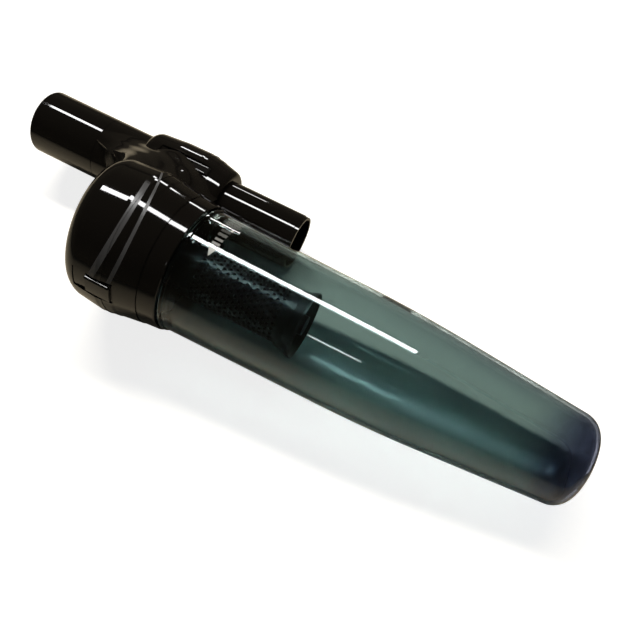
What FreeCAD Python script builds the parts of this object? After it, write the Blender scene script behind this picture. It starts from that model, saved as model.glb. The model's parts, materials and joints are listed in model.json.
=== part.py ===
import FreeCAD, Part
import math
import os

os.makedirs("parts", exist_ok=True)

V = FreeCAD.Vector

# An in-line cyclone filter, drawn with the cup axis on Z, the outlet up and the tube line at x = TUBE_X.
# Height zero is the lower edge of the lock collar. All sizes are in millimetres, all angles in degrees.

# Bayonet between cup and collar
CUP_NECK_R = 36.6
CUP_CLEARANCE = 0.4
LUG_COUNT = 3
LUG_ANGLE = 14.0
LUG_DEPTH = 1.8
LUG_BOTTOM_Z = 3.0
LUG_HEIGHT = 3.0
LUG_FIRST_ANGLE = 30.0
LUG_ROOT = 0.5
TWIST_ANGLE = 25.0
TWIST_SPARE_ANGLE = 1.5
LUG_AXIAL_CLEARANCE = 0.4

# Lock collar
COLLAR_WALL = 1.2
COLLAR_FLARE = 1.0
COLLAR_HEIGHT = 11.3
COLLAR_EDGE_RADIUS = 0.9
POCKET_R = CUP_NECK_R + LUG_DEPTH + CUP_CLEARANCE
COLLAR_LOW_R = POCKET_R + COLLAR_WALL
COLLAR_TOP_R = COLLAR_LOW_R + COLLAR_FLARE

# Seal between cup rim and head
MOUTH_LIP_THICKNESS = 0.9
CUP_GASKET_THICKNESS = 1.2
CUP_GASKET_INSET = 0.3
CUP_RIM_CLEARANCE = 0.2
CUP_RIM_Z = COLLAR_HEIGHT - MOUTH_LIP_THICKNESS - CUP_GASKET_THICKNESS - CUP_RIM_CLEARANCE

# Cup
CUP_WALL = 2.0
CUP_SHOULDER_CLEARANCE = 0.8
CUP_BEAD_STEP = 2.3
CUP_BEAD_HEIGHT = 2.4
CUP_BEAD_RADIUS = 0.8
CUP_NECK_BLEND = 6.0
CUP_MOUTH_STEP = 1.3
CUP_KNEE_DEPTH = 130.0
CUP_KNEE_DRAFT = 2.1
CUP_KNEE_RADIUS = 900.0
CUP_LENGTH = 243.0
CUP_FOOT_DRAFT = 9.8
CUP_TIP_RADIUS = 11.4
CUP_SHOULDER_Z = -CUP_SHOULDER_CLEARANCE
CUP_BEAD_R = CUP_NECK_R + CUP_BEAD_STEP
CUP_MOUTH_R = CUP_NECK_R + CUP_MOUTH_STEP
CUP_KNEE_R = CUP_MOUTH_R - CUP_KNEE_DRAFT
CUP_KNEE_Z = -CUP_KNEE_DEPTH
CUP_FOOT_R = CUP_KNEE_R - CUP_FOOT_DRAFT
CUP_TIP_Z = -CUP_LENGTH

# Tube line
SPIGOT_R = 17.5
SPIGOT_WALL = 2.0
SPIGOT_DEPTH = 40.5
SPIGOT_LEAD_LENGTH = 2.6
SPIGOT_LEAD_DEPTH = 0.4
SPIGOT_SHOULDER = 0.5
SPIGOT_FLANGE_WIDTH = 2.2
SPIGOT_FLANGE_THICKNESS = 1.5
TUBE_GAP = 1.5
SOCKET_CLEARANCE = 0.2
SOCKET_WALL = 3.3
SOCKET_STOP = 1.1
SOCKET_DEPTH = 40.0
SOCKET_RIM_CHAMFER = 0.8
TUBE_X = COLLAR_TOP_R + TUBE_GAP + SPIGOT_R
SPIGOT_END_Z = -SPIGOT_DEPTH
SOCKET_BORE_R = SPIGOT_R + SOCKET_CLEARANCE
SOCKET_R = SOCKET_BORE_R + SOCKET_WALL
DUCT_R = SOCKET_BORE_R - SOCKET_STOP

# Head shell: heights of the stepped belt, the split between body and cover, and the top
SHELL_WALL = 2.6
BODY_SIDE_HEIGHT = 12.9
BELT_STEP = 0.6
BELT_STEP_HEIGHT = 1.8
BELT_LOW_HEIGHT = 5.5
BELT_TOP_HEIGHT = 4.1
COVER_LIP = 0.3
COVER_HEIGHT = 34.7
BELT_LOW_Z = COLLAR_HEIGHT + BODY_SIDE_HEIGHT
BELT_MID_Z = BELT_LOW_Z + BELT_STEP_HEIGHT
SPLIT_Z = BELT_MID_Z + BELT_LOW_HEIGHT
BELT_TOP_Z = SPLIT_Z + BELT_TOP_HEIGHT
BARREL_TOP_Z = SPLIT_Z + COVER_HEIGHT

# Head shell: radii of the barrel round the cup axis
BARREL_STEP = 0.4
BARREL_LOW_DRAFT = 1.9
BARREL_SPLIT_DRAFT = 1.3
BARREL_BELT_DRAFT = 0.6
BARREL_SHOULDER_HEIGHT = 18.4
BARREL_SHOULDER_DRAFT = 1.7
BARREL_SHOULDER_RADIUS = 60.0
BARREL_DRAW_HEIGHT = 30.0
BARREL_DRAW_DRAFT = 1.0
TOP_SLOPE = 0.13
BARREL_EDGE_RADIUS = 13.0
BARREL_BOTTOM_R = COLLAR_TOP_R + BARREL_STEP
BELT_LOW_R = BARREL_BOTTOM_R + BARREL_LOW_DRAFT
BARREL_SPLIT_R = BELT_LOW_R + BARREL_SPLIT_DRAFT
BARREL_BELT_R = BARREL_SPLIT_R + BARREL_BELT_DRAFT
BARREL_SHOULDER_Z = BELT_TOP_Z + BARREL_SHOULDER_HEIGHT
BARREL_SHOULDER_R = BARREL_BELT_R - BARREL_SHOULDER_DRAFT
BARREL_DRAW_Z = BARREL_SHOULDER_Z + BARREL_DRAW_HEIGHT
BARREL_DRAW_R = BARREL_SHOULDER_R - BARREL_DRAW_DRAFT

# Duct lobe round the tube line
LOBE_BOTTOM_RISE = 1.7
LOBE_BOTTOM_STEP = 5.3
LOBE_LOW_DRAFT = 2.6
LOBE_SPLIT_DRAFT = 1.5
LOBE_BELT_DRAFT = 0.5
LOBE_SHOULDER_HEIGHT = 16.4
LOBE_SHOULDER_DRAFT = 0.2
LOBE_SHOULDER_RADIUS = 30.0
LOBE_DRAW_HEIGHT = 38.0
LOBE_DRAW_DRAFT = 3.2
LOBE_EDGE_RADIUS = 7.0
LOBE_BOTTOM_RADIUS = 4.0
LOBE_BOTTOM_Z = COLLAR_HEIGHT + LOBE_BOTTOM_RISE
LOBE_BOTTOM_R = SPIGOT_R + LOBE_BOTTOM_STEP
LOBE_LOW_R = LOBE_BOTTOM_R + LOBE_LOW_DRAFT
LOBE_SPLIT_R = LOBE_LOW_R + LOBE_SPLIT_DRAFT
LOBE_BELT_R = LOBE_SPLIT_R + LOBE_BELT_DRAFT
LOBE_SHOULDER_Z = BELT_TOP_Z + LOBE_SHOULDER_HEIGHT
LOBE_SHOULDER_R = LOBE_BELT_R - LOBE_SHOULDER_DRAFT
LOBE_DRAW_Z = LOBE_SHOULDER_Z + LOBE_DRAW_HEIGHT
LOBE_DRAW_R = LOBE_SHOULDER_R - LOBE_DRAW_DRAFT

# Outlet tube
SOCKET_LENGTH = 83.8
SOCKET_SEAT_HEIGHT = 35.8
SOCKET_SEAT_CHAMFER = 0.5
SOCKET_TAIL_LENGTH = 12.0
SOCKET_TAIL_WALL = 1.6
BOSS_DEPTH = 10.0
SOCKET_TOP_Z = BARREL_TOP_Z + SOCKET_LENGTH
SOCKET_SEAT_Z = BARREL_TOP_Z + SOCKET_SEAT_HEIGHT
SOCKET_TAIL_R = DUCT_R + SOCKET_TAIL_WALL

# Hood that joins barrel, lobe and outlet tube: how far its sides lie inside them at each height
HOOD_FOOT_DROP = 1.3
HOOD_FOOT_INSET = 14.0
HOOD_SPLIT_INSET = 2.5
HOOD_SHOULDER_INSET = 1.2
HOOD_TOP_INSET = 0.8
HOOD_TUBE_INSET = 0.5
HOOD_ROUNDING = 8.0
HOOD_STEPS = 12
HOOD_FOOT_Z = COLLAR_HEIGHT - HOOD_FOOT_DROP

# Crown line of the hood: distances back from the tube line and heights over the barrel top
HOOD_START_BACK = 58.0
HOOD_START_SINK = 2.2
HOOD_RUN_BACK = 42.0
HOOD_RUN_RISE = 1.8
HOOD_BEND_BACK = 30.0
HOOD_BEND_RISE = 11.0
HOOD_RAMP_BACK = 21.0
HOOD_RAMP_RISE = 23.0
HOOD_CREST_BACK = 13.5
HOOD_CREST_RISE = 38.0
HOOD_END_BACK = 7.5
HOOD_END_RISE = 52.0
HOOD_PEAK_RISE = 56.0

# Partition between the inlet side and the clean side
PARTITION_THICKNESS = 3.0
MOUTH_STEP = 0.2
MOUTH_RISE = 2.0
PLATE_LOW_Z = SPLIT_Z - PARTITION_THICKNESS
MOUTH_BORE_R = CUP_NECK_R - CUP_WALL + MOUTH_STEP
MOUTH_LIP_Z = COLLAR_HEIGHT - MOUTH_LIP_THICKNESS

# Neck that carries the filter through the partition
NECK_R = 14.7
NECK_WALL = 2.2
NECK_LENGTH = 38.0
NECK_END_HEIGHT = 2.3
NECK_FLANGE_WIDTH = 6.0
NECK_FLANGE_THICKNESS = 2.0
NECK_RING_WIDTH = 3.5
NECK_RING_THICKNESS = 2.2
FILTER_GASKET_THICKNESS = 1.5
NECK_TOP_Z = SPLIT_Z + NECK_RING_THICKNESS + NECK_END_HEIGHT
NECK_BOTTOM_Z = NECK_TOP_Z - NECK_LENGTH
FLANGE_TOP_Z = PLATE_LOW_Z - FILTER_GASKET_THICKNESS

# Seals of the cover and of the outlet socket
RECESS_DEPTH = 1.4
COVER_GASKET_WIDTH = 1.2
COVER_GASKET_MARGIN = 0.4
COVER_GASKET_DEPTH = 0.8
SOCKET_SEAL_RISE = 3.0
SOCKET_SEAL_LENGTH = 2.4
SOCKET_SEAL_DEPTH = 1.2
COVER_GASKET_INSET = RECESS_DEPTH + COVER_GASKET_MARGIN
SOCKET_SEAL_Z = SOCKET_TOP_Z - SOCKET_DEPTH + SOCKET_SEAL_RISE

# Filter hanging in the cup
CAGE_STEP = 2.0
CAGE_WALL = 1.6
CAGE_LENGTH = 69.8
CAGE_SHOULDER = 2.0
SKIRT_GRIP = 6.0
SKIRT_FLARE_HEIGHT = 0.5
SKIRT_DROP = 5.2
SKIRT_WIDTH = 3.8
SKIRT_THICKNESS = 1.5
HOLE_R = 1.1
HOLES_ROUND = 28
HOLE_PITCH = 3.2
HOLE_TOP_MARGIN = 8.8
HOLE_BOTTOM_MARGIN = 2.1
MESH_THICKNESS = 0.4
FOAM_THICKNESS = 5.0
CAP_THICKNESS = 2.4
CAP_GRIP_R = 6.0
CAP_GRIP_LENGTH = 5.0
CAGE_R = NECK_R + CAGE_STEP
CAGE_TOP_Z = NECK_BOTTOM_Z + CAGE_SHOULDER
CAGE_BOTTOM_Z = CAGE_TOP_Z - CAGE_LENGTH
SKIRT_TOP_Z = CAGE_BOTTOM_Z + SKIRT_GRIP
SKIRT_FLARE_Z = CAGE_BOTTOM_Z + SKIRT_FLARE_HEIGHT
SKIRT_BOTTOM_Z = CAGE_BOTTOM_Z - SKIRT_DROP
SKIRT_R = CAGE_R + SKIRT_WIDTH
HOLE_FIRST_Z = CAGE_TOP_Z - HOLE_TOP_MARGIN
HOLE_LAST_Z = SKIRT_TOP_Z + HOLE_BOTTOM_MARGIN
MESH_BOTTOM_Z = CAGE_BOTTOM_Z + CAP_THICKNESS

# Guide wall at the inlet opening
GUIDE_CLEARANCE = 0.3
GUIDE_WALL = 1.6
GUIDE_START_ANGLE = -26.0
GUIDE_SWEEP_ANGLE = 30.0
GUIDE_OUTER_R = BARREL_BOTTOM_R - SHELL_WALL - GUIDE_CLEARANCE
GUIDE_BOTTOM_Z = COLLAR_HEIGHT + 2 * MOUTH_RISE + GUIDE_CLEARANCE

# Cover clips, each reaching below and above the split
REAR_CLIP_WIDTH = 13.0
REAR_RECESS_BELOW = 6.5
REAR_RECESS_ABOVE = 19.5
REAR_CLIP_BELOW = 5.3
REAR_CLIP_ABOVE = 10.5
SIDE_CLIP_WIDTH = 6.0
SIDE_CLIP_ANGLE = 102.5
SIDE_RECESS_BELOW = 11.5
SIDE_RECESS_ABOVE = 29.5
SIDE_CLIP_BELOW = 6.5
SIDE_CLIP_ABOVE = 19.5
RECESS_MARGIN = 1.2
CLIP_PEG_HEIGHT = 2.4
CLIP_PEG_INSET = 1.0
CLIP_PEG_LENGTH = 1.6
CLIP_PEG_ROOT = 0.1
CLIP_PEG_MARGIN = 1.2
CLIP_WINDOW_ABOVE = 5.7
CLIP_WINDOW_HEIGHT = 2.6
CLIP_WINDOW_WIDTH = 3.0

# Far enough to cut right through any piece
FAR = 400.0


# A closed outline in the XZ plane from (r, z, corner radius) points
def outline(points):
    count = len(points)
    starts = []
    ends = []
    arcs = []
    for i in range(count):
        r, z, radius = points[i]
        here = V(r, 0, z)
        if radius == 0:
            starts.append(here)
            ends.append(here)
            arcs.append(None)
            continue
        before = V(points[i - 1][0], 0, points[i - 1][1]) - here
        after = V(points[(i + 1) % count][0], 0, points[(i + 1) % count][1]) - here
        before.normalize()
        after.normalize()
        half = before.getAngle(after) / 2
        reach = radius / math.tan(half)
        middle = before + after
        middle.normalize()
        starts.append(here + before * reach)
        ends.append(here + after * reach)
        arcs.append(here + middle * (radius / math.sin(half) - radius))
    edges = []
    for i in range(count):
        if arcs[i] is not None:
            edges.append(Part.Arc(starts[i], arcs[i], ends[i]).toShape())
        following = starts[(i + 1) % count]
        if ends[i].distanceToPoint(following) > 1e-6:
            edges.append(Part.makeLine(ends[i], following))
    return Part.Wire(edges)


# A solid turned about the vertical line at x = centre
def turned(points, centre=0.0):
    face = Part.Face(outline(points))
    solid = face.revolve(V(0, 0, 0), V(0, 0, 1), 360)
    solid.translate(V(centre, 0, 0))
    return solid


def disc(radius, low, high, centre=0.0):
    return Part.makeCylinder(radius, high - low, V(centre, 0, low))


def ring(inner, outer, low, high, centre=0.0):
    return disc(outer, low, high, centre).cut(disc(inner, low, high, centre))


# A piece of a ring between two angles about the cup axis
def sector(inner, outer, low, high, start, sweep):
    profile = outline([(inner, low, 0), (outer, low, 0), (outer, high, 0), (inner, high, 0)])
    solid = Part.Face(profile).revolve(V(0, 0, 0), V(0, 0, 1), sweep)
    solid.rotate(V(0, 0, 0), V(0, 0, 1), start)
    return solid


# Everything under the sloping top plane of the head, lowered by drop
def under_top(drop):
    block = Part.makeBox(2 * FAR, 2 * FAR, FAR, V(-FAR, -FAR, -FAR))
    block.rotate(V(0, 0, 0), V(0, 1, 0), -math.degrees(math.atan(TOP_SLOPE)))
    block.translate(V(0, 0, BARREL_TOP_Z - drop * math.hypot(1, TOP_SLOPE)))
    return block


# Rounds the edge where the sloping top plane leaves the side wall
def rounded_top(solid, drop, radius):
    height = BARREL_TOP_Z - drop * math.hypot(1, TOP_SLOPE)
    edges = []
    for edge in solid.Edges:
        points = edge.discretize(Number=5)
        if all(abs(p.z - TOP_SLOPE * p.x - height) < 1e-4 for p in points):
            edges.append(edge)
    return solid.makeFillet(radius, edges)


def barrel_solid(inset, low):
    side = [
        (0, low, 0),
        (BARREL_BOTTOM_R - inset, low, 0),
        (BELT_LOW_R - inset, BELT_LOW_Z, 0),
        (BELT_LOW_R + BELT_STEP - inset, BELT_MID_Z, 0),
        (BARREL_SPLIT_R - inset, SPLIT_Z, 0),
        (BARREL_BELT_R - inset, BELT_TOP_Z, 0),
        (BARREL_SHOULDER_R - inset, BARREL_SHOULDER_Z, BARREL_SHOULDER_RADIUS),
        (BARREL_DRAW_R - inset, BARREL_DRAW_Z, 0),
        (0, BARREL_DRAW_Z, 0),
    ]
    solid = turned(side).common(under_top(inset))
    return rounded_top(solid, inset, BARREL_EDGE_RADIUS - inset)


def lobe_solid(inset, low):
    side = [
        (0, low, 0),
        (LOBE_BOTTOM_R - inset, low, 0 if inset else LOBE_BOTTOM_RADIUS),
        (LOBE_LOW_R - inset, BELT_LOW_Z, 0),
        (LOBE_LOW_R + BELT_STEP - inset, BELT_MID_Z, 0),
        (LOBE_SPLIT_R - inset, SPLIT_Z, 0),
        (LOBE_BELT_R - inset, BELT_TOP_Z, 0),
        (LOBE_SHOULDER_R - inset, LOBE_SHOULDER_Z, LOBE_SHOULDER_RADIUS),
        (LOBE_DRAW_R - inset, LOBE_DRAW_Z, 0),
        (0, LOBE_DRAW_Z, 0),
    ]
    solid = turned(side, TUBE_X).common(under_top(inset))
    return rounded_top(solid, inset, LOBE_EDGE_RADIUS - inset)


# Half width of the hood at one place: straight cheeks that touch a circle round each axis
def hood_width(x, z, inset):
    tube_r = SOCKET_R - HOOD_TUBE_INSET
    levels = [
        (HOOD_FOOT_Z, BARREL_BOTTOM_R - HOOD_FOOT_INSET, LOBE_BOTTOM_R - HOOD_FOOT_INSET),
        (SPLIT_Z, BARREL_SPLIT_R - HOOD_SPLIT_INSET, LOBE_SPLIT_R - HOOD_SPLIT_INSET),
        (LOBE_SHOULDER_Z, BARREL_SHOULDER_R - HOOD_SHOULDER_INSET, LOBE_SHOULDER_R - HOOD_SHOULDER_INSET),
        (BARREL_TOP_Z, BARREL_SHOULDER_R - HOOD_TOP_INSET, tube_r),
        (SOCKET_SEAT_Z, tube_r, tube_r),
    ]
    for low, high in zip(levels, levels[1:]):
        if z <= high[0]:
            break
    share = min((z - low[0]) / (high[0] - low[0]), 1)
    barrel = low[1] + share * (high[1] - low[1]) - inset
    tube = low[2] + share * (high[2] - low[2]) - inset
    lean = (barrel - tube) / TUBE_X
    if x < barrel * lean:
        return math.sqrt(barrel * barrel - x * x)
    return (barrel - x * lean) / math.sqrt(1 - lean * lean)


# One upright section across the hood, its sides closing over a rounded crown
def hood_section(x, crown, inset):
    side = []
    for i in range(HOOD_STEPS + 1):
        rise = math.sin(math.pi / 2 * i / HOOD_STEPS)
        z = HOOD_FOOT_Z + (crown - HOOD_FOOT_Z) * rise
        narrowing = (1 - rise ** HOOD_ROUNDING) ** (1 / HOOD_ROUNDING)
        side.append(V(x, hood_width(x, z, inset) * narrowing, z))
    points = side + [V(p.x, -p.y, p.z) for p in reversed(side[:-1])]
    curve = Part.BSplineCurve()
    curve.interpolate(Points=points, Parameters=[i / (len(points) - 1) for i in range(len(points))])
    return Part.Wire([curve.toShape(), Part.makeLine(points[-1], points[0])])


# The hood fills the valleys between barrel and lobe and leads the dome up to the outlet tube
def hood_solid(inset):
    crown = [
        (HOOD_START_BACK, -HOOD_START_SINK),
        (HOOD_RUN_BACK, HOOD_RUN_RISE),
        (HOOD_BEND_BACK, HOOD_BEND_RISE),
        (HOOD_RAMP_BACK, HOOD_RAMP_RISE),
        (HOOD_CREST_BACK, HOOD_CREST_RISE),
        (HOOD_END_BACK, HOOD_END_RISE),
        (0, HOOD_PEAK_RISE),
    ]
    sections = [hood_section(TUBE_X - back, BARREL_TOP_Z + rise - inset, inset) for back, rise in crown]
    return Part.makeLoft(sections, True, False).common(disc(FAR, HOOD_FOOT_Z, SOCKET_SEAT_Z - inset))


def head_outer():
    hood = hood_solid(0).common(disc(FAR, LOBE_BOTTOM_Z, FAR))
    return barrel_solid(0, COLLAR_HEIGHT).fuse([lobe_solid(0, LOBE_BOTTOM_Z), hood])


# A straight block from one radius to another about a vertical line, turned to an angle
def wall_block(centre, angle, inner, outer, width, low, high):
    block = Part.makeBox(outer - inner, width, high - low, V(inner, -width / 2, low))
    block.rotate(V(0, 0, 0), V(0, 0, 1), angle)
    block.translate(V(centre, 0, 0))
    return block


# One clip: a curved springy tab with two pegs through the wall; returns the tab and its pegs
def clip(centre, angle, face_r, width, low, high, window):
    wall_r = face_r - RECESS_DEPTH
    shell = ring(wall_r, face_r, low, high, centre)
    tab = shell.common(wall_block(centre, angle, 0, FAR, width, low, high))
    if window:
        sill = SPLIT_Z + CLIP_WINDOW_ABOVE
        tab = tab.cut(wall_block(centre, angle, 0, FAR, CLIP_WINDOW_WIDTH, sill, sill + CLIP_WINDOW_HEIGHT))
    inner = wall_r - CLIP_PEG_LENGTH
    outer = wall_r + CLIP_PEG_ROOT
    peg_width = width - 2 * CLIP_PEG_MARGIN
    pegs = []
    for start in (low + CLIP_PEG_INSET, high - CLIP_PEG_INSET - CLIP_PEG_HEIGHT):
        pegs.append(wall_block(centre, angle, inner, outer, peg_width, start, start + CLIP_PEG_HEIGHT))
    return tab.fuse(pegs).removeSplitter(), pegs[0].fuse(pegs[1])


def recess(centre, angle, face_r, width, low, high):
    block = wall_block(centre, angle, 0, face_r + RECESS_DEPTH + COVER_LIP, width, low, high)
    return block.cut(disc(face_r - RECESS_DEPTH, low, high, centre))


# The three clips hold the cover on the body: one opposite the tube line, one on either side of the lobe
def clip_set():
    rear_low = SPLIT_Z - REAR_CLIP_BELOW
    rear_high = SPLIT_Z + REAR_CLIP_ABOVE
    rear_room = recess(
        0, 180, BARREL_SPLIT_R, REAR_CLIP_WIDTH + 2 * RECESS_MARGIN,
        SPLIT_Z - REAR_RECESS_BELOW, SPLIT_Z + REAR_RECESS_ABOVE,
    )
    rear, rear_pegs = clip(0, 180, BARREL_SPLIT_R, REAR_CLIP_WIDTH, rear_low, rear_high, False)
    pieces = {"clip_rear": rear}
    rooms = [rear_room, rear_pegs]
    for name, angle in (("clip_side_near", -SIDE_CLIP_ANGLE), ("clip_side_far", SIDE_CLIP_ANGLE)):
        low = SPLIT_Z - SIDE_CLIP_BELOW
        high = SPLIT_Z + SIDE_CLIP_ABOVE
        pieces[name], pegs = clip(TUBE_X, angle, LOBE_SPLIT_R, SIDE_CLIP_WIDTH, low, high, True)
        rooms.append(recess(
            TUBE_X, angle, LOBE_SPLIT_R, SIDE_CLIP_WIDTH + 2 * RECESS_MARGIN,
            SPLIT_Z - SIDE_RECESS_BELOW, SPLIT_Z + SIDE_RECESS_ABOVE,
        ))
        rooms.append(pegs)
    return pieces, rooms


# Seal laid in a groove on top of the partition, just inside the clip recesses
def gasket_strip():
    outer = COVER_GASKET_INSET
    inner = COVER_GASKET_INSET + COVER_GASKET_WIDTH
    low = SPLIT_Z - COVER_GASKET_DEPTH
    loops = []
    for inset in (outer, inner):
        barrel = disc(BARREL_SPLIT_R - inset, low, SPLIT_Z)
        lobe = disc(LOBE_SPLIT_R - inset, low, SPLIT_Z, TUBE_X)
        cheeks = hood_solid(inset).common(disc(FAR, low, SPLIT_Z))
        loops.append(barrel.fuse([lobe, cheeks]))
    return loops[0].cut(loops[1])


# Lower half of the head: volute and partition plate in one moulding
def head_body(outer, rooms, strip):
    body = outer.common(disc(FAR, COLLAR_HEIGHT, SPLIT_Z))
    lip = disc(CUP_NECK_R + CUP_CLEARANCE, MOUTH_LIP_Z, COLLAR_HEIGHT)
    body = body.fuse(lip)
    swirl_room = turned([
        (0, MOUTH_LIP_Z, 0),
        (MOUTH_BORE_R, MOUTH_LIP_Z, 0),
        (MOUTH_BORE_R, COLLAR_HEIGHT + MOUTH_RISE, 0),
        (BARREL_BOTTOM_R - SHELL_WALL, COLLAR_HEIGHT + 2 * MOUTH_RISE, 0),
        (BARREL_SPLIT_R - SHELL_WALL - BELT_STEP, PLATE_LOW_Z, 0),
        (0, PLATE_LOW_Z, 0),
    ])
    inlet_room = turned([
        (0, LOBE_BOTTOM_Z + SHELL_WALL, 0),
        (LOBE_BOTTOM_R - SHELL_WALL, LOBE_BOTTOM_Z + SHELL_WALL, 0),
        (LOBE_SPLIT_R - SHELL_WALL - BELT_STEP, PLATE_LOW_Z, 0),
        (0, PLATE_LOW_Z, 0),
    ], TUBE_X)
    cheek_room = hood_solid(SHELL_WALL).common(disc(FAR, LOBE_BOTTOM_Z + SHELL_WALL, PLATE_LOW_Z))
    inlet_hole = disc(SPIGOT_R - SPIGOT_SHOULDER, LOBE_BOTTOM_Z, LOBE_BOTTOM_Z + SHELL_WALL, TUBE_X)
    neck_hole = disc(NECK_R, PLATE_LOW_Z, SPLIT_Z)
    return body.cut([swirl_room, inlet_room, cheek_room, inlet_hole, neck_hole, strip] + rooms)


# Inlet tube: held in the floor of the lobe between its shoulder and a flange
def inlet_spigot():
    floor_top = LOBE_BOTTOM_Z + SHELL_WALL
    flange_top = floor_top + SPIGOT_FLANGE_THICKNESS
    bore = SPIGOT_R - SPIGOT_WALL
    return turned([
        (bore, SPIGOT_END_Z, 0),
        (SPIGOT_R - SPIGOT_LEAD_DEPTH, SPIGOT_END_Z, 0),
        (SPIGOT_R - SPIGOT_LEAD_DEPTH, SPIGOT_END_Z + SPIGOT_LEAD_LENGTH, 0),
        (SPIGOT_R, SPIGOT_END_Z + SPIGOT_LEAD_LENGTH + SPIGOT_LEAD_DEPTH, 0),
        (SPIGOT_R, LOBE_BOTTOM_Z, 0),
        (SPIGOT_R - SPIGOT_SHOULDER, LOBE_BOTTOM_Z, 0),
        (SPIGOT_R - SPIGOT_SHOULDER, floor_top, 0),
        (SPIGOT_R + SPIGOT_FLANGE_WIDTH, floor_top, 0),
        (SPIGOT_R + SPIGOT_FLANGE_WIDTH, flange_top, 0),
        (bore, flange_top, 0),
    ], TUBE_X)


# Upper half of the head: the dome and hood, with a boss in the hood that carries the outlet tube
def dome_cover(outer, rooms):
    dome = outer.common(disc(FAR, SPLIT_Z, FAR))
    boss = disc(SOCKET_R, BARREL_TOP_Z - BOSS_DEPTH, SOCKET_SEAT_Z, TUBE_X)
    lip = disc(BARREL_SPLIT_R + COVER_LIP, SPLIT_Z, BELT_TOP_Z)
    lobe_lip = disc(LOBE_SPLIT_R + COVER_LIP, SPLIT_Z, BELT_TOP_Z, TUBE_X)
    cover = dome.fuse([boss, lip, lobe_lip])
    hollow = barrel_solid(SHELL_WALL, 0).fuse([lobe_solid(SHELL_WALL, 0), hood_solid(SHELL_WALL)])
    plenum = hollow.common(disc(FAR, SPLIT_Z, FAR))
    duct = disc(DUCT_R, SPLIT_Z, SOCKET_SEAT_Z, TUBE_X)
    tail_room = disc(SOCKET_TAIL_R, SOCKET_SEAT_Z - SOCKET_TAIL_LENGTH, SOCKET_SEAT_Z, TUBE_X)
    return cover.cut([plenum, duct, tail_room] + rooms)


# Outlet tube: a socket for the hose handle, with a seal groove, a stop and a tail that sits in the boss
def outlet_tube():
    stop_z = SOCKET_TOP_Z - SOCKET_DEPTH
    groove_r = SOCKET_BORE_R + SOCKET_SEAL_DEPTH
    groove_top = SOCKET_SEAL_Z + SOCKET_SEAL_LENGTH
    tail_z = SOCKET_SEAT_Z - SOCKET_TAIL_LENGTH
    return turned([
        (DUCT_R, tail_z, 0),
        (SOCKET_TAIL_R, tail_z, 0),
        (SOCKET_TAIL_R, SOCKET_SEAT_Z, 0),
        (SOCKET_R - SOCKET_SEAT_CHAMFER, SOCKET_SEAT_Z, 0),
        (SOCKET_R, SOCKET_SEAT_Z + SOCKET_SEAT_CHAMFER, 0),
        (SOCKET_R, SOCKET_TOP_Z, SOCKET_RIM_CHAMFER),
        (SOCKET_BORE_R + SOCKET_RIM_CHAMFER, SOCKET_TOP_Z, 0),
        (SOCKET_BORE_R, SOCKET_TOP_Z - SOCKET_RIM_CHAMFER, 0),
        (SOCKET_BORE_R, groove_top, 0),
        (groove_r, groove_top, 0),
        (groove_r, SOCKET_SEAL_Z, 0),
        (SOCKET_BORE_R, SOCKET_SEAL_Z, 0),
        (SOCKET_BORE_R, stop_z, 0),
        (DUCT_R, stop_z, 0),
    ], TUBE_X)


# Collar with the bayonet pockets that the cup lugs turn in
def lock_collar():
    bore = CUP_NECK_R + CUP_CLEARANCE
    collar = turned([
        (bore, 0, 0),
        (COLLAR_LOW_R, 0, COLLAR_EDGE_RADIUS),
        (COLLAR_TOP_R, COLLAR_HEIGHT, COLLAR_EDGE_RADIUS / 2),
        (bore, COLLAR_HEIGHT, 0),
    ])
    pockets = []
    for i in range(LUG_COUNT):
        start = LUG_FIRST_ANGLE + i * 360.0 / LUG_COUNT
        low = LUG_BOTTOM_Z - LUG_AXIAL_CLEARANCE
        high = LUG_BOTTOM_Z + LUG_HEIGHT + LUG_AXIAL_CLEARANCE
        track = LUG_ANGLE + TWIST_ANGLE + 2 * TWIST_SPARE_ANGLE
        entry = LUG_ANGLE + 2 * TWIST_SPARE_ANGLE
        pockets.append(sector(bore - LUG_ROOT, POCKET_R, low, high, start - TWIST_SPARE_ANGLE, track))
        entry_start = start + TWIST_ANGLE - TWIST_SPARE_ANGLE
        pockets.append(sector(bore - LUG_ROOT, POCKET_R, 0, low, entry_start, entry))
    return collar.cut(pockets)


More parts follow.
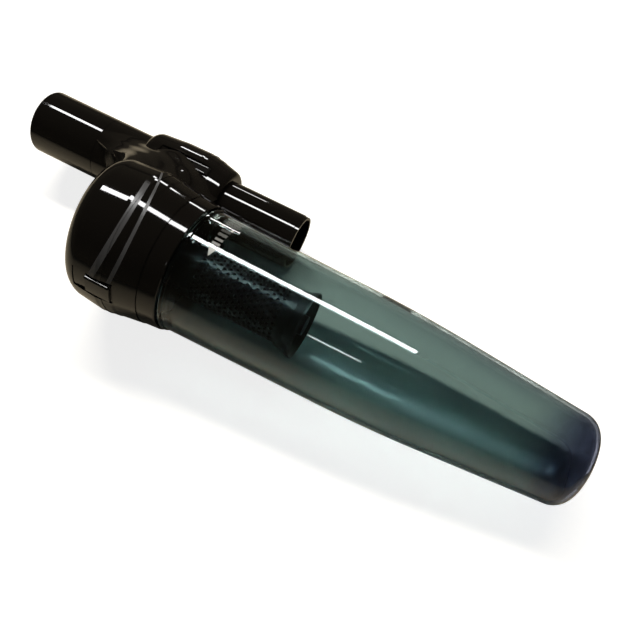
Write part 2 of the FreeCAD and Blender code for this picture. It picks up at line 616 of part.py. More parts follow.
# Transparent dust cup with its bead and bayonet lugs
def cup():
    slope = (CUP_KNEE_R - CUP_FOOT_R) / (CUP_KNEE_Z - CUP_TIP_Z)
    inner_foot_r = CUP_FOOT_R - CUP_WALL + slope * CUP_WALL
    neck_inner = CUP_NECK_R - CUP_WALL
    bead_low = CUP_SHOULDER_Z - CUP_BEAD_HEIGHT
    shell = turned([
        (neck_inner, CUP_RIM_Z, 0),
        (CUP_NECK_R, CUP_RIM_Z, 0),
        (CUP_NECK_R, CUP_SHOULDER_Z, 0),
        (CUP_BEAD_R, CUP_SHOULDER_Z, CUP_BEAD_RADIUS),
        (CUP_BEAD_R, bead_low, CUP_BEAD_RADIUS),
        (CUP_MOUTH_R, bead_low, 0),
        (CUP_KNEE_R, CUP_KNEE_Z, CUP_KNEE_RADIUS),
        (CUP_FOOT_R, CUP_TIP_Z, CUP_TIP_RADIUS),
        (0, CUP_TIP_Z, 0),
        (0, CUP_TIP_Z + CUP_WALL, 0),
        (inner_foot_r, CUP_TIP_Z + CUP_WALL, CUP_TIP_RADIUS - CUP_WALL),
        (CUP_KNEE_R - CUP_WALL, CUP_KNEE_Z, CUP_KNEE_RADIUS),
        (CUP_MOUTH_R - CUP_WALL, bead_low - CUP_NECK_BLEND, 0),
        (neck_inner, bead_low, 0),
    ])
    lug_inner = CUP_NECK_R - LUG_ROOT
    lug_outer = CUP_NECK_R + LUG_DEPTH
    lugs = []
    for i in range(LUG_COUNT):
        start = LUG_FIRST_ANGLE + i * 360.0 / LUG_COUNT
        lugs.append(sector(lug_inner, lug_outer, LUG_BOTTOM_Z, LUG_BOTTOM_Z + LUG_HEIGHT, start, LUG_ANGLE))
    return shell.fuse(lugs).removeSplitter()


# Neck tube that carries the filter through the partition plate
def filter_neck():
    bore = NECK_R - NECK_WALL
    tube = ring(bore, NECK_R, NECK_BOTTOM_Z, NECK_TOP_Z)
    flange = ring(bore, NECK_R + NECK_FLANGE_WIDTH, FLANGE_TOP_Z - NECK_FLANGE_THICKNESS, FLANGE_TOP_Z)
    return tube.fuse(flange).removeSplitter()


# Ring that holds the neck tube from above the partition
def neck_ring():
    return ring(NECK_R, NECK_R + NECK_RING_WIDTH, SPLIT_Z, SPLIT_Z + NECK_RING_THICKNESS)


def filter_gasket():
    return ring(NECK_R, NECK_R + NECK_FLANGE_WIDTH, FLANGE_TOP_Z, PLATE_LOW_Z)


# Perforated cage, closed above by a collar that grips the neck tube
def filter_cage():
    cage = ring(CAGE_R - CAGE_WALL, CAGE_R, CAGE_BOTTOM_Z, CAGE_TOP_Z)
    seat = ring(NECK_R, CAGE_R, NECK_BOTTOM_Z, CAGE_TOP_Z)
    rows = int((HOLE_FIRST_Z - HOLE_LAST_Z) / HOLE_PITCH) + 1
    drills = []
    for row in range(rows):
        height = V(0, 0, HOLE_FIRST_Z - row * HOLE_PITCH)
        for step in range(HOLES_ROUND):
            turn = math.radians((step + 0.5 * (row % 2)) * 360.0 / HOLES_ROUND)
            along = V(math.cos(turn), math.sin(turn), 0)
            start = along * (CAGE_R - 2 * CAGE_WALL) + height
            drills.append(Part.makeCylinder(HOLE_R, 3 * CAGE_WALL, start, along))
    return cage.fuse(seat).removeSplitter().cut(drills)


def filter_mesh():
    outer = CAGE_R - CAGE_WALL
    return ring(outer - MESH_THICKNESS, outer, MESH_BOTTOM_Z, NECK_BOTTOM_Z)


def filter_foam():
    outer = CAGE_R - CAGE_WALL - MESH_THICKNESS
    return ring(outer - FOAM_THICKNESS, outer, MESH_BOTTOM_Z, NECK_BOTTOM_Z)


# Flared skirt that keeps the settled dust down
def filter_skirt():
    return turned([
        (CAGE_R, SKIRT_TOP_Z, 0),
        (CAGE_R + SKIRT_THICKNESS, SKIRT_TOP_Z, 0),
        (CAGE_R + SKIRT_THICKNESS, SKIRT_FLARE_Z + SKIRT_THICKNESS, 0),
        (SKIRT_R, SKIRT_BOTTOM_Z + SKIRT_THICKNESS, 0),
        (SKIRT_R, SKIRT_BOTTOM_Z, 0),
        (CAGE_R, SKIRT_FLARE_Z, 0),
    ])


# Bottom plug of the cage with a grip to pull the foam out
def filter_cap():
    inner = CAGE_R - CAGE_WALL
    plate = disc(inner, CAGE_BOTTOM_Z, MESH_BOTTOM_Z)
    grip = disc(CAP_GRIP_R, CAGE_BOTTOM_Z - CAP_GRIP_LENGTH, CAGE_BOTTOM_Z)
    return plate.fuse(grip).removeSplitter()


# Flat seal under the mouth lip, over the cup rim
def cup_gasket():
    inner = CUP_NECK_R - CUP_WALL + CUP_GASKET_INSET
    outer = CUP_NECK_R - CUP_GASKET_INSET
    return ring(inner, outer, MOUTH_LIP_Z - CUP_GASKET_THICKNESS, MOUTH_LIP_Z)


def socket_seal():
    outer = SOCKET_BORE_R + SOCKET_SEAL_DEPTH
    return ring(SOCKET_BORE_R, outer, SOCKET_SEAL_Z, SOCKET_SEAL_Z + SOCKET_SEAL_LENGTH, TUBE_X)


# Curved wall that turns the incoming air along the cup wall
def inlet_guide():
    inner = GUIDE_OUTER_R - GUIDE_WALL
    return sector(inner, GUIDE_OUTER_R, GUIDE_BOTTOM_Z, PLATE_LOW_Z, GUIDE_START_ANGLE, GUIDE_SWEEP_ANGLE)


# The lying pose: the barrel belt, the lobe and the foot of the cup all touch the floor
def lying_placement(shapes):
    foot_z = CUP_TIP_Z + CUP_TIP_RADIUS
    taper = (CUP_KNEE_R - CUP_FOOT_R) / (CUP_KNEE_Z - CUP_TIP_Z)
    foot_r = CUP_FOOT_R + taper * CUP_TIP_RADIUS
    along = (BARREL_BELT_R - foot_r) / (foot_z - BELT_TOP_Z)
    lean = (BARREL_BELT_R - LOBE_SHOULDER_R + along * (BELT_TOP_Z - LOBE_SHOULDER_Z)) / TUBE_X
    down = V(lean, math.sqrt(1 - lean * lean), along)
    up = down * -1
    up.normalize()
    tip = V(0, 0, -1)
    forward = tip - up * tip.dot(up)
    forward.normalize()
    left = up.cross(forward)
    turn = FreeCAD.Matrix(
        forward.x, forward.y, forward.z, 0,
        left.x, left.y, left.z, 0,
        up.x, up.y, up.z, 0,
        0, 0, 0, 1,
    )
    whole = Part.makeCompound([s.transformed(turn) for s in shapes])
    box = whole.optimalBoundingBox()
    shift = V(-box.Center.x, -box.Center.y, -box.ZMin)
    turn.move(shift)
    return turn


def build():
    outer = head_outer()
    clips, rooms = clip_set()
    strip = gasket_strip()
    nodes = {
        "head_body": head_body(outer, rooms, strip),
        "inlet_spigot": inlet_spigot(),
        "dome_cover": dome_cover(outer, rooms),
        "outlet_tube": outlet_tube(),
        "cover_gasket": strip,
        "lock_collar": lock_collar(),
        "cup": cup(),
        "cup_gasket": cup_gasket(),
        "filter_neck": filter_neck(),
        "neck_ring": neck_ring(),
        "filter_gasket": filter_gasket(),
        "filter_cage": filter_cage(),
        "filter_mesh": filter_mesh(),
        "filter_foam": filter_foam(),
        "filter_skirt": filter_skirt(),
        "filter_cap": filter_cap(),
        "inlet_guide": inlet_guide(),
        "socket_seal": socket_seal(),
    }
    nodes.update(clips)
    turn = lying_placement(list(nodes.values()))
    for name, shape in nodes.items():
        shape.transformed(turn).exportStep("parts/" + name + ".step")


build()
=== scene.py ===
import json
import math

import bpy
from mathutils import Matrix, Vector


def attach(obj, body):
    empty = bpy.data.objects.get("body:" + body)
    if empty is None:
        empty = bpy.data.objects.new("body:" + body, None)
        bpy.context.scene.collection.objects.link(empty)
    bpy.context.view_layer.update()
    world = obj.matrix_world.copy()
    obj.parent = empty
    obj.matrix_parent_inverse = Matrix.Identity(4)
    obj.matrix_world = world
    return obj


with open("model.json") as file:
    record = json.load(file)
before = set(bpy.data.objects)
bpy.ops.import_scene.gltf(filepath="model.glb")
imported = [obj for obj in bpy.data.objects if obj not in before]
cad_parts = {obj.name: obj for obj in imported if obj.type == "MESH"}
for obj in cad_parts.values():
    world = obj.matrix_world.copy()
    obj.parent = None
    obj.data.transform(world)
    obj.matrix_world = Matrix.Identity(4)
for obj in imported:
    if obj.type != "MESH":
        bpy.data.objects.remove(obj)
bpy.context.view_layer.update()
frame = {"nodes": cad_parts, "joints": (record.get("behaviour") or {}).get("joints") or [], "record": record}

bpy.ops.object.select_all(action="DESELECT")
scene = bpy.context.scene
scene.view_settings.view_transform = "Standard"

# The photographer stands over the cup side and looks down at the whole filter as it lies on the table.
# The place, the turn and the lens come from the outlines of the two tube ends, the head and the cup.
CAMERA_PLACE = (0.10721, -0.15951, 0.38274)
CAMERA_TURN = (26.1845, 0.0279, 27.6422)
CAMERA_LENS = 38.176

bpy.ops.object.camera_add(location=CAMERA_PLACE, rotation=[math.radians(a) for a in CAMERA_TURN])
photographer = bpy.context.object
photographer.name = "photographer"
photographer.data.lens = CAMERA_LENS
photographer.data.sensor_width = 36.0
photographer.data.clip_start = 0.01
photographer.data.clip_end = 50.0
scene.camera = photographer

# A pale table under one long tube lamp, which draws the white line along every round wall.
# Small lamps at the back and over the near side draw the second, thinner lines. The rest of the room is dim.
TABLE_COLOUR = (0.60, 0.56, 0.48, 1.0)
TABLE_IN_GLOSS = (0.72, 0.60, 0.41, 1.0)
FAR_TABLE_IN_GLOSS = (0.060, 0.050, 0.035, 1.0)
FAR_TABLE_WAY = (0.35, 1.0, 0.0)
FAR_TABLE = (0.035, 0.11)
TABLE_LIFT = 0.80
ROOM_LIGHT = (0.045, 0.055, 0.07, 1.0)
ROOM_HIGH = (0.022, 0.018, 0.012, 1.0)
ROOM_LOW = (0.050, 0.043, 0.030, 1.0)
ROOM_TURNS = (0.02, 0.55)
BEHIND_COLOUR = (1.0, 1.0, 1.0, 1.0)
TABLE_RADIUS = 12.0

table_paint = bpy.data.materials.new("table_top")
table_paint.use_nodes = True
tree = table_paint.node_tree
board = tree.nodes["Principled BSDF"]
board.inputs["Roughness"].default_value = 0.9
board.inputs["Specular IOR Level"].default_value = 0.0
board.inputs["Emission Color"].default_value = BEHIND_COLOUR
path = tree.nodes.new("ShaderNodeLightPath")
board_colour = tree.nodes.new("ShaderNodeMix")
board_colour.data_type = "RGBA"
board_colour.inputs["A"].default_value = TABLE_COLOUR
place = tree.nodes.new("ShaderNodeTexCoord")
off = tree.nodes.new("ShaderNodeVectorMath")
off.operation = "DOT_PRODUCT"
off.inputs[1].default_value = FAR_TABLE_WAY
tree.links.new(place.outputs["Object"], off.inputs[0])
far = tree.nodes.new("ShaderNodeMapRange")
far.inputs["From Min"].default_value = FAR_TABLE[0]
far.inputs["From Max"].default_value = FAR_TABLE[1]
tree.links.new(off.outputs["Value"], far.inputs["Value"])
gloss_colour = tree.nodes.new("ShaderNodeMix")
gloss_colour.data_type = "RGBA"
gloss_colour.inputs["A"].default_value = TABLE_IN_GLOSS
gloss_colour.inputs["B"].default_value = FAR_TABLE_IN_GLOSS
tree.links.new(far.outputs["Result"], gloss_colour.inputs["Factor"])
tree.links.new(gloss_colour.outputs["Result"], board_colour.inputs["B"])
mirrored = tree.nodes.new("ShaderNodeMath")
mirrored.operation = "SUBTRACT"
mirrored.use_clamp = True
tree.links.new(path.outputs["Is Glossy Ray"], mirrored.inputs[0])
tree.links.new(path.outputs["Is Transmission Ray"], mirrored.inputs[1])
tree.links.new(mirrored.outputs[0], board_colour.inputs["Factor"])
tree.links.new(board_colour.outputs["Result"], board.inputs["Base Color"])
lift = tree.nodes.new("ShaderNodeMath")
lift.operation = "MULTIPLY"
lift.inputs[1].default_value = TABLE_LIFT
tree.links.new(path.outputs["Is Camera Ray"], lift.inputs[0])
tree.links.new(lift.outputs[0], board.inputs["Emission Strength"])

bpy.ops.mesh.primitive_circle_add(vertices=96, radius=TABLE_RADIUS, fill_type="NGON", location=(0, 0, 0))
table = bpy.context.object
table.name = "table"
table.data.materials.append(table_paint)

room = bpy.data.worlds.new("room")
scene.world = room
room.use_nodes = True
tree = room.node_tree
room_light = tree.nodes["Background"]
room_light.inputs["Color"].default_value = ROOM_LIGHT
path = tree.nodes.new("ShaderNodeLightPath")
way = tree.nodes.new("ShaderNodeTexCoord")
parts = tree.nodes.new("ShaderNodeSeparateXYZ")
tree.links.new(way.outputs["Generated"], parts.inputs[0])
up = tree.nodes.new("ShaderNodeMapRange")
up.interpolation_type = "SMOOTHSTEP"
up.inputs["From Min"].default_value = ROOM_TURNS[0]
up.inputs["From Max"].default_value = ROOM_TURNS[1]
tree.links.new(parts.outputs["Z"], up.inputs["Value"])
walls = tree.nodes.new("ShaderNodeMix")
walls.data_type = "RGBA"
walls.inputs["A"].default_value = ROOM_LOW
walls.inputs["B"].default_value = ROOM_HIGH
tree.links.new(up.outputs["Result"], walls.inputs["Factor"])
room_gloss = tree.nodes.new("ShaderNodeBackground")
tree.links.new(walls.outputs["Result"], room_gloss.inputs["Color"])
in_gloss = tree.nodes.new("ShaderNodeMixShader")
tree.links.new(path.outputs["Is Glossy Ray"], in_gloss.inputs[0])
tree.links.new(room_light.outputs[0], in_gloss.inputs[1])
tree.links.new(room_gloss.outputs[0], in_gloss.inputs[2])
white_room = tree.nodes.new("ShaderNodeBackground")
white_room.inputs["Color"].default_value = BEHIND_COLOUR
seen = tree.nodes.new("ShaderNodeMixShader")
tree.links.new(path.outputs["Is Camera Ray"], seen.inputs[0])
tree.links.new(in_gloss.outputs[0], seen.inputs[1])
tree.links.new(white_room.outputs[0], seen.inputs[2])
tree.links.new(seen.outputs[0], tree.nodes["World Output"].inputs["Surface"])


def lamp(name, place, aim, length, width, radiance):
    """A flat lamp of the given length along X, turned to its aim, as bright all over as radiance says."""
    bpy.ops.object.light_add(type="AREA", location=place)
    made = bpy.context.object
    made.name = name
    made.data.shape = "RECTANGLE"
    made.data.size = length
    made.data.size_y = width
    made.data.energy = radiance * math.pi * length * width
    made.rotation_mode = "QUATERNION"
    down = (Vector(aim) - Vector(place)).normalized()
    along = Vector((1, 0, 0))
    side = (-down).cross(along).normalized()
    along = side.cross(-down)
    made.rotation_quaternion = Matrix((along, side, -down)).transposed().to_quaternion()


lamp("tube_lamp", (-0.175, 0.375, 0.80), (0, 0, 0.05), 0.91, 0.10, 26.0)
lamp("window_strip", (-0.365, 0.85, 0.17), (-0.03, 0.05, 0.04), 0.21, 0.05, 14.0)
lamp("near_strip", (0.07, -0.52, 0.80), (0, 0, 0.05), 0.14, 0.04, 8.0)

# The head is injection-moulded in black ABS from polished moulds: the cover snaps on the body, the two
# tubes are bonded in, and the collar is bonded under the body. Two lighter grey, rougher bands run round the
# barrel.
BLACK = (0.0058, 0.0048, 0.0038, 1.0)
DUST_GREY = (0.16, 0.15, 0.13, 1.0)
BELT_GREY = (0.066, 0.062, 0.058, 1.0)
# Each belt: its lowest height, the angle where it is lowest, how fast it climbs from there,
# half its width there, and the angle where it runs out by the outlet side.
BELTS = ((0.0309, -121.0, 3.0e-6, 0.00165, -86.0), (0.0233, -132.0, 2.8e-6, 0.0009, -64.0))
BELT_WIDENING = 6.0e-6
BELT_EDGE = 0.0002
BELT_RUN_OUT = 3.0
BELT_SATIN = 0.3
# The belts lie on the barrel alone, outside these radii from the cup axis.
BARREL_RADII = (0.0405, 0.0415)

twist = frame["joints"][0]
cup_centre = Vector(twist["pos_m"])
head_way = Vector(twist["axis"]).normalized()
socket_mount = [m for m in frame["record"]["mounts"] if m["name"] == "outlet_socket"][0]
to_socket = Vector(socket_mount["pos_m"]) - cup_centre
tube_way = (to_socket - head_way * to_socket.dot(head_way)).normalized()
side_way = head_way.cross(tube_way)


def part_place():
    """Node group: a point's height along the cup axis, its reach to the tubes, side, radius and angle."""
    group = bpy.data.node_groups.new("part_place", "ShaderNodeTree")
    for name in ("Height", "Reach", "Side", "Radius", "Angle"):
        group.interface.new_socket(name, in_out="OUTPUT", socket_type="NodeSocketFloat")
    put_out = group.nodes.new("NodeGroupOutput")
    place = group.nodes.new("ShaderNodeTexCoord")
    from_centre = group.nodes.new("ShaderNodeVectorMath")
    from_centre.operation = "SUBTRACT"
    from_centre.inputs[1].default_value = cup_centre
    group.links.new(place.outputs["Object"], from_centre.inputs[0])
    found = {}
    for name, way in (("Height", head_way), ("Reach", tube_way), ("Side", side_way)):
        dot = group.nodes.new("ShaderNodeVectorMath")
        dot.operation = "DOT_PRODUCT"
        dot.inputs[1].default_value = way
        group.links.new(from_centre.outputs["Vector"], dot.inputs[0])
        group.links.new(dot.outputs["Value"], put_out.inputs[name])
        found[name] = dot.outputs["Value"]
    flat = group.nodes.new("ShaderNodeCombineXYZ")
    group.links.new(found["Reach"], flat.inputs["X"])
    group.links.new(found["Side"], flat.inputs["Y"])
    length = group.nodes.new("ShaderNodeVectorMath")
    length.operation = "LENGTH"
    group.links.new(flat.outputs[0], length.inputs[0])
    group.links.new(length.outputs["Value"], put_out.inputs["Radius"])
    turn = group.nodes.new("ShaderNodeMath")
    turn.operation = "ARCTAN2"
    group.links.new(found["Side"], turn.inputs[0])
    group.links.new(found["Reach"], turn.inputs[1])
    degrees = group.nodes.new("ShaderNodeMath")
    degrees.operation = "DEGREES"
    group.links.new(turn.outputs[0], degrees.inputs[0])
    group.links.new(degrees.outputs[0], put_out.inputs["Angle"])
    return group


place_group = part_place()


def moulded_surface():
    """Node group: the fine unevenness that a moulded and handled plastic wall shows in its gloss."""
    group = bpy.data.node_groups.new("moulded_surface", "ShaderNodeTree")
    sockets = (
        ("Low Roughness", 0.05), ("High Roughness", 0.14), ("Smear Scale", 18.0),
        ("Peel Scale", 420.0), ("Peel Height", 0.00001), ("Specks", 0.0),
    )
    for name, value in sockets:
        socket = group.interface.new_socket(name, in_out="INPUT", socket_type="NodeSocketFloat")
        socket.default_value = value
    group.interface.new_socket("Roughness", in_out="OUTPUT", socket_type="NodeSocketFloat")
    group.interface.new_socket("Height", in_out="OUTPUT", socket_type="NodeSocketFloat")
    group.interface.new_socket("Dust", in_out="OUTPUT", socket_type="NodeSocketFloat")
    given = group.nodes.new("NodeGroupInput")
    put_out = group.nodes.new("NodeGroupOutput")
    place = group.nodes.new("ShaderNodeTexCoord")
    smear = group.nodes.new("ShaderNodeTexNoise")
    smear.inputs["Detail"].default_value = 5.0
    smear.inputs["Roughness"].default_value = 0.6
    group.links.new(place.outputs["Object"], smear.inputs["Vector"])
    group.links.new(given.outputs["Smear Scale"], smear.inputs["Scale"])
    spread = group.nodes.new("ShaderNodeMapRange")
    spread.inputs["From Min"].default_value = 0.35
    spread.inputs["From Max"].default_value = 0.75
    group.links.new(smear.outputs["Fac"], spread.inputs["Value"])
    group.links.new(given.outputs["Low Roughness"], spread.inputs["To Min"])
    group.links.new(given.outputs["High Roughness"], spread.inputs["To Max"])
    group.links.new(spread.outputs["Result"], put_out.inputs["Roughness"])
    peel = group.nodes.new("ShaderNodeTexNoise")
    peel.inputs["Detail"].default_value = 2.0
    group.links.new(place.outputs["Object"], peel.inputs["Vector"])
    group.links.new(given.outputs["Peel Scale"], peel.inputs["Scale"])
    height = group.nodes.new("ShaderNodeMath")
    height.operation = "MULTIPLY"
    group.links.new(peel.outputs["Fac"], height.inputs[0])
    group.links.new(given.outputs["Peel Height"], height.inputs[1])
    group.links.new(height.outputs[0], put_out.inputs["Height"])
    speck = group.nodes.new("ShaderNodeTexNoise")
    speck.inputs["Scale"].default_value = 1600.0
    speck.inputs["Detail"].default_value = 1.0
    group.links.new(place.outputs["Object"], speck.inputs["Vector"])
    few = group.nodes.new("ShaderNodeMapRange")
    few.inputs["From Min"].default_value = 0.70
    few.inputs["From Max"].default_value = 0.76
    group.links.new(speck.outputs["Fac"], few.inputs["Value"])
    share = group.nodes.new("ShaderNodeMath")
    share.operation = "MULTIPLY"
    group.links.new(few.outputs["Result"], share.inputs[0])
    group.links.new(given.outputs["Specks"], share.inputs[1])
    group.links.new(share.outputs[0], put_out.inputs["Dust"])
    return group


surface_group = moulded_surface()


def group_node(tree, group, **values):
    """A node group in a material, with the given values at its sockets."""
    made = tree.nodes.new("ShaderNodeGroup")
    made.node_tree = group
    for socket, value in values.items():
        made.inputs[socket.replace("_", " ")].default_value = value
    return made


def maths(tree, operation, first, second=None):
    """One sum of two values, each a socket or a number."""
    made = tree.nodes.new("ShaderNodeMath")
    made.operation = operation
    for i, value in enumerate((first, second)):
        if value is None:
            continue
        if isinstance(value, (int, float)):
            made.inputs[i].default_value = value
        else:
            tree.links.new(value, made.inputs[i])
    return made.outputs[0]


def step(tree, value, start, end):
    """A smooth mask that is 0 at start and 1 at end."""
    made = tree.nodes.new("ShaderNodeMapRange")
    made.interpolation_type = "SMOOTHSTEP"
    made.inputs["From Min"].default_value = min(start, end)
    made.inputs["From Max"].default_value = max(start, end)
    made.inputs["To Min"].default_value = 0.0 if start < end else 1.0
    made.inputs["To Max"].default_value = 1.0 if start < end else 0.0
    tree.links.new(value, made.inputs["Value"])
    return made.outputs["Result"]


def between(tree, value, low, high, edge):
    """A mask that is 1 between low and high, with soft edges."""
    return maths(tree, "MULTIPLY", step(tree, value, low - edge, low), step(tree, value, high + edge, high))


def blend(tree, mask, colour, other):
    """A colour that turns into the other where the mask is 1; each is a socket or a colour."""
    made = tree.nodes.new("ShaderNodeMix")
    made.data_type = "RGBA"
    for socket, value in (("A", colour), ("B", other)):
        if isinstance(value, tuple):
            made.inputs[socket].default_value = value
        else:
            tree.links.new(value, made.inputs[socket])
    tree.links.new(mask, made.inputs["Factor"])
    return made.outputs["Result"]


def moulded_plastic(name, colour, **surface):
    """A dyed plastic with the moulded surface; surface gives the group's values by their socket names.

    Specks of dust show on it where surface gives them.
    """
    made = bpy.data.materials.new(name)
    made.use_nodes = True
    tree = made.node_tree
    shader = tree.nodes["Principled BSDF"]
    wall = group_node(tree, surface_group, **surface)
    wall.name = "wall"
    shader.inputs["Base Color"].default_value = colour
    if "Specks" in surface:
        dusted = blend(tree, wall.outputs["Dust"], colour, DUST_GREY)
        tree.links.new(dusted, shader.inputs["Base Color"])
    tree.links.new(wall.outputs["Roughness"], shader.inputs["Roughness"])
    bump = tree.nodes.new("ShaderNodeBump")
    tree.links.new(wall.outputs["Height"], bump.inputs["Height"])
    tree.links.new(bump.outputs["Normal"], shader.inputs["Normal"])
    return made


def dress(material, *nodes):
    """Gives CAD nodes their finish."""
    for node in nodes:
        shown = frame["nodes"][node]
        shown.data.materials.clear()
        shown.data.materials.append(material)


head_black = moulded_plastic(
    "head_black", BLACK, Low_Roughness=0.03, High_Roughness=0.075, Peel_Height=0.000006,
)
tree = head_black.node_tree
shader = tree.nodes["Principled BSDF"]
spot = group_node(tree, place_group)
belts = 0.0
for lowest, at_angle, climb, half, end in BELTS:
    turned = maths(tree, "SUBTRACT", spot.outputs["Angle"], at_angle)
    risen = maths(tree, "MULTIPLY", maths(tree, "MULTIPLY", turned, turned), climb)
    centre = maths(tree, "ADD", risen, lowest)
    off = maths(tree, "ABSOLUTE", maths(tree, "SUBTRACT", spot.outputs["Height"], centre))
    reach = maths(tree, "ADD", maths(tree, "MULTIPLY", turned, -BELT_WIDENING), half)
    belt = step(tree, maths(tree, "SUBTRACT", off, reach), BELT_EDGE, 0.0)
    run_out = step(tree, spot.outputs["Angle"], end + BELT_RUN_OUT, end - BELT_RUN_OUT)
    belt = maths(tree, "MULTIPLY", belt, run_out)
    belts = maths(tree, "MAXIMUM", belt, belts)
belts = maths(tree, "MULTIPLY", belts, step(tree, spot.outputs["Radius"], *BARREL_RADII))
tree.links.new(blend(tree, belts, BLACK, BELT_GREY), shader.inputs["Base Color"])
satin = maths(tree, "MULTIPLY", belts, BELT_SATIN)
tree.links.new(maths(tree, "ADD", tree.nodes["wall"].outputs["Roughness"], satin), shader.inputs["Roughness"])
dress(head_black, "dome_cover", "head_body", "lock_collar", "inlet_guide", "outlet_tube", "inlet_spigot")

# Three springy tabs in black nylon hold the cover on the body: one at the back and one on either side of
# the duct. Each snaps its two noses through the walls and lies in a shallow recess. Thin six-sided ribs
# stiffen the tabs.
CLIP_BLACK = (0.009, 0.008, 0.007, 1.0)
CLIP_LOW = 0.0266
# Each rib: the reach of the wall's axis, the angle and radius where it lies on the clip, its upper end, its
# size and the way that its broad face looks.
RIBS = (
    (0.0, -173.5, 0.0449, 0.0416, 0.0013, -101.6), (0.060, -107.6, 0.0263, 0.0504, 0.0009, -111.3),
    (0.060, -97.4, 0.0263, 0.0504, 0.0009, -111.8), (0.060, 107.6, 0.0263, 0.0504, 0.0009, 111.3),
    (0.060, 97.4, 0.0263, 0.0504, 0.0009, 111.8),
)


def outward_at(angle):
    """The way out from the cup axis at an angle, counted from the tube side."""
    turn = math.radians(angle)
    return tube_way * math.cos(turn) + side_way * math.sin(turn)


clip_black = moulded_plastic("clip_black", CLIP_BLACK, Low_Roughness=0.04, High_Roughness=0.09)
dress(clip_black, "clip_rear", "clip_side_near", "clip_side_far")
for number, (reach, angle, radius, top, size, look) in enumerate(RIBS):
    middle = cup_centre + tube_way * reach + outward_at(angle) * radius + head_way * (CLIP_LOW + top) / 2
    facing = outward_at(look)
    lie = Matrix((facing, head_way.cross(facing), head_way)).transposed().to_euler()
    bpy.ops.object.select_all(action="DESELECT")
    bpy.ops.mesh.primitive_cylinder_add(
        vertices=6, radius=size, depth=top - CLIP_LOW, end_fill_type="NGON", location=middle, rotation=lie,
    )
    rib = bpy.context.object
    rib.name = "clip_rib_%d" % (number + 1)
    bpy.ops.object.mode_set(mode="EDIT")
    bpy.ops.mesh.select_all(action="SELECT")
    bpy.ops.mesh.bevel(offset=size * 0.15, segments=2)
    bpy.ops.object.mode_set(mode="OBJECT")
    bpy.ops.object.transform_apply(location=True, rotation=True, scale=True)
    bpy.ops.object.shade_smooth_by_angle(angle=math.radians(20.0))
    rib.data.materials.append(clip_black)
    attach(rib, "head")

# The dust cup is one clear moulding in smoke blue-green, darker and bluer at the tip where the wall is
# thick. It hangs on the collar by its bayonet lugs, and a pale printed arrow near its mouth shows which way
# it turns. Fine dust dulls the lower side of its inner wall.
CUP_SMOKE = (0.57, 0.715, 0.715, 1.0)
CUP_TIP_TINT = (0.20, 0.225, 0.34, 1.0)
CUP_RIM_SHARE = 0.85
# What the cup lets through of the lamps' light on its way to the table.
CUP_SHADE = (0.042, 0.120, 0.190, 1.0)
# The thin wall hardly bends the view through it, and its polished faces shine as the solid plastic does.
WALL_IOR = 1.14
FACE_IOR = 1.5
FACE_ROUGHNESS = 0.02
DUSTY_ROUGHNESS = 0.34
# Heights count from the collar's lower edge, so all those of the cup are negative.
CUP_LENGTH = 0.243
TIP_TURNS = (0.036 - CUP_LENGTH, -0.001 - CUP_LENGTH)
RIM_TURNS = (-0.05, 0.03 - CUP_LENGTH)
# The inner wall lies inside these radii at the mouth, and narrows by the taper for each metre down.
INNER_RADII = (0.0371, 0.0365)
INNER_TAPER = 0.016
DUST_SIDE = (0.004, 0.016)
DUST_DULLS = 0.32
PRINT_PAINT = (0.62, 0.60, 0.52, 1.0)
PRINT_RADII = (0.0368, 0.0370)
PRINT_HEIGHT = -0.0163
ARROW_TIP = -115.5
ARROW_BASE = -107.0
ARROW_HALF = 0.0024
ARROW_INK = 0.75
# Each bar behind the arrow: its angle, its width in degrees, half its length and how dense its ink is.
BARS = (
    (-102.4, 2.4, 0.0026, 0.42), (-97.5, 2.4, 0.0026, 0.34), (-91.5, 3.2, 0.0029, 0.20),
    (-85.5, 3.6, 0.0030, 0.12), (-68.0, 18.0, 0.0045, 0.16),
)
# The two dots at the ends of the printed scale: height and angle.
DOTS = ((-0.0122, -80.8), (-0.0187, -82.0))
DOT_RADIUS = 0.0011
DOT_INK = 0.95
# The outer wall by the print runs this far, in metres, for each degree.
WALL_PER_DEGREE = math.radians(0.0367)

cup_smoke = bpy.data.materials.new("cup_smoke")
cup_smoke.use_nodes = True
tree = cup_smoke.node_tree
clean_face = tree.nodes["Principled BSDF"]
clean_face.inputs["Coat Roughness"].default_value = FACE_ROUGHNESS
dusty_face = tree.nodes.new("ShaderNodeBsdfPrincipled")
dusty_face.inputs["Coat Roughness"].default_value = DUSTY_ROUGHNESS
spot = group_node(tree, place_group)
to_tip = step(tree, spot.outputs["Height"], *TIP_TURNS)
rim = tree.nodes.new("ShaderNodeLayerWeight")
rim.inputs["Blend"].default_value = 0.5
rim_dark = maths(tree, "MULTIPLY", maths(tree, "POWER", rim.outputs["Facing"], 2.0), CUP_RIM_SHARE)
rim_dark = maths(tree, "MULTIPLY", rim_dark, step(tree, spot.outputs["Height"], *RIM_TURNS))
deep = maths(tree, "MAXIMUM", to_tip, rim_dark)
smoke = blend(tree, deep, CUP_SMOKE, CUP_TIP_TINT)
wall = group_node(tree, surface_group, Low_Roughness=0.0, High_Roughness=0.03)
narrowed = maths(tree, "MULTIPLY", spot.outputs["Height"], -INNER_TAPER)
inner_wall = step(tree, maths(tree, "ADD", spot.outputs["Radius"], narrowed), *INNER_RADII)
dusty = maths(tree, "MULTIPLY", step(tree, spot.outputs["Side"], *DUST_SIDE), inner_wall)
dull = maths(tree, "MULTIPLY", dusty, DUST_DULLS)
dulled = maths(tree, "ADD", wall.outputs["Roughness"], dull)
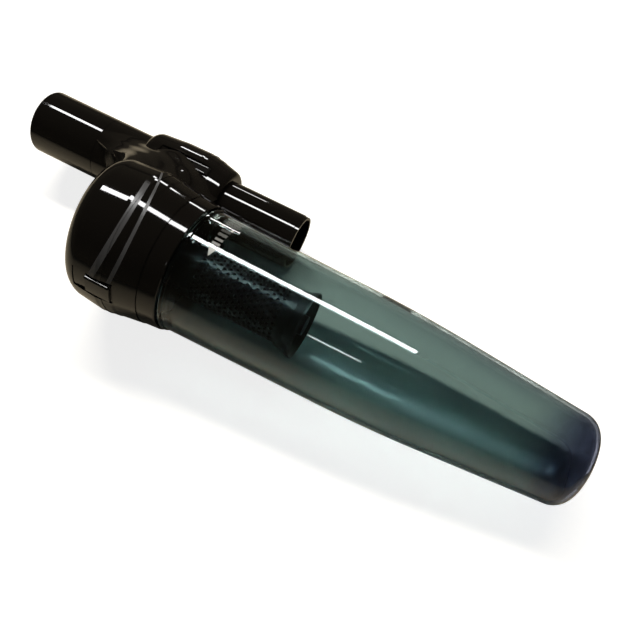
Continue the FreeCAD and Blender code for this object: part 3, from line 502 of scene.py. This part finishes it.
for face in (clean_face, dusty_face):
    face.inputs["Transmission Weight"].default_value = 1.0
    face.inputs["IOR"].default_value = WALL_IOR
    face.inputs["Coat Weight"].default_value = 1.0
    face.inputs["Coat IOR"].default_value = FACE_IOR
    tree.links.new(smoke, face.inputs["Base Color"])
    tree.links.new(dulled, face.inputs["Roughness"])
faces = tree.nodes.new("ShaderNodeMixShader")
tree.links.new(dusty, faces.inputs[0])
tree.links.new(clean_face.outputs[0], faces.inputs[1])
tree.links.new(dusty_face.outputs[0], faces.inputs[2])
path = tree.nodes.new("ShaderNodeLightPath")
let_through = tree.nodes.new("ShaderNodeBsdfTransparent")
let_through.inputs["Color"].default_value = CUP_SHADE
shade = tree.nodes.new("ShaderNodeMixShader")
tree.links.new(path.outputs["Is Shadow Ray"], shade.inputs[0])
tree.links.new(faces.outputs[0], shade.inputs[1])
tree.links.new(let_through.outputs[0], shade.inputs[2])
away = maths(tree, "ABSOLUTE", maths(tree, "SUBTRACT", spot.outputs["Height"], PRINT_HEIGHT))
slope = ARROW_HALF / (ARROW_BASE - ARROW_TIP)
narrowing = maths(tree, "MULTIPLY", maths(tree, "SUBTRACT", spot.outputs["Angle"], ARROW_TIP), slope)
in_arrow = maths(tree, "LESS_THAN", spot.outputs["Angle"], ARROW_BASE)
arrow_ink = maths(tree, "MULTIPLY", in_arrow, ARROW_INK)
printed = maths(tree, "MULTIPLY", maths(tree, "LESS_THAN", away, narrowing), arrow_ink)
for angle, width, half, ink in BARS:
    bar = between(tree, spot.outputs["Angle"], angle - width / 2, angle + width / 2, 0.3)
    bar = maths(tree, "MULTIPLY", bar, step(tree, away, half, half - 0.0003))
    printed = maths(tree, "MAXIMUM", printed, maths(tree, "MULTIPLY", bar, ink))
for height, angle in DOTS:
    along = maths(tree, "SUBTRACT", spot.outputs["Height"], height)
    arc = maths(tree, "MULTIPLY", maths(tree, "SUBTRACT", spot.outputs["Angle"], angle), WALL_PER_DEGREE)
    square = maths(tree, "ADD", maths(tree, "MULTIPLY", along, along), maths(tree, "MULTIPLY", arc, arc))
    dot = step(tree, maths(tree, "SQRT", square), DOT_RADIUS, DOT_RADIUS - 0.0004)
    printed = maths(tree, "MAXIMUM", printed, maths(tree, "MULTIPLY", dot, DOT_INK))
printed = maths(tree, "MULTIPLY", printed, step(tree, spot.outputs["Radius"], *PRINT_RADII))
paint = tree.nodes.new("ShaderNodeBsdfPrincipled")
paint.inputs["Base Color"].default_value = PRINT_PAINT
paint.inputs["Roughness"].default_value = 0.45
whole = tree.nodes.new("ShaderNodeMixShader")
tree.links.new(printed, whole.inputs[0])
tree.links.new(shade.outputs[0], whole.inputs[1])
tree.links.new(paint.outputs[0], whole.inputs[2])
tree.links.new(whole.outputs[0], tree.nodes["Material Output"].inputs["Surface"])
dress(cup_smoke, "cup")

# The perforated cage, its flared skirt, plug and neck are matt black mouldings, held together by the neck
# ring. Fine grey dust has settled on them.
FILTER_BLACK = (0.011, 0.0115, 0.0115, 1.0)

filter_black = moulded_plastic(
    "filter_black", FILTER_BLACK, Low_Roughness=0.30, High_Roughness=0.38, Peel_Height=0.000001, Specks=0.12,
)
dress(filter_black, "filter_cage", "filter_skirt", "filter_cap", "filter_neck", "neck_ring")

# Behind the holes lie a woven steel mesh and the foam sleeve that catches what the swirl leaves.
# Both slide into the cage from below and are held by the plug.
# The mesh's near-black is partly its own colour and partly painted shade, so the cage's holes read dark.
MESH_AND_HOLE_SHADE = (0.012, 0.013, 0.014, 1.0)
FOAM_GREY = (0.03, 0.03, 0.03, 1.0)

mesh_grey = moulded_plastic(
    "mesh_grey", MESH_AND_HOLE_SHADE, Low_Roughness=0.5, High_Roughness=0.7, Peel_Scale=1500.0,
)
mesh_grey.node_tree.nodes["Principled BSDF"].inputs["Metallic"].default_value = 0.6
dress(mesh_grey, "filter_mesh")
foam_grey = moulded_plastic(
    "foam_grey", FOAM_GREY, Low_Roughness=0.8, High_Roughness=0.95, Peel_Height=0.0002,
)
dress(foam_grey, "filter_foam")

# Soft black rubber rings seal the mouth lip, the cover groove, the filter neck and the outlet socket.
# They are laid in loose and pinched between the mouldings.
RUBBER_BLACK = (0.014, 0.014, 0.014, 1.0)

seal_rubber = moulded_plastic("seal_rubber", RUBBER_BLACK, Low_Roughness=0.5, High_Roughness=0.7)
dress(seal_rubber, "cup_gasket", "cover_gasket", "filter_gasket", "socket_seal")

bpy.context.view_layer.update()
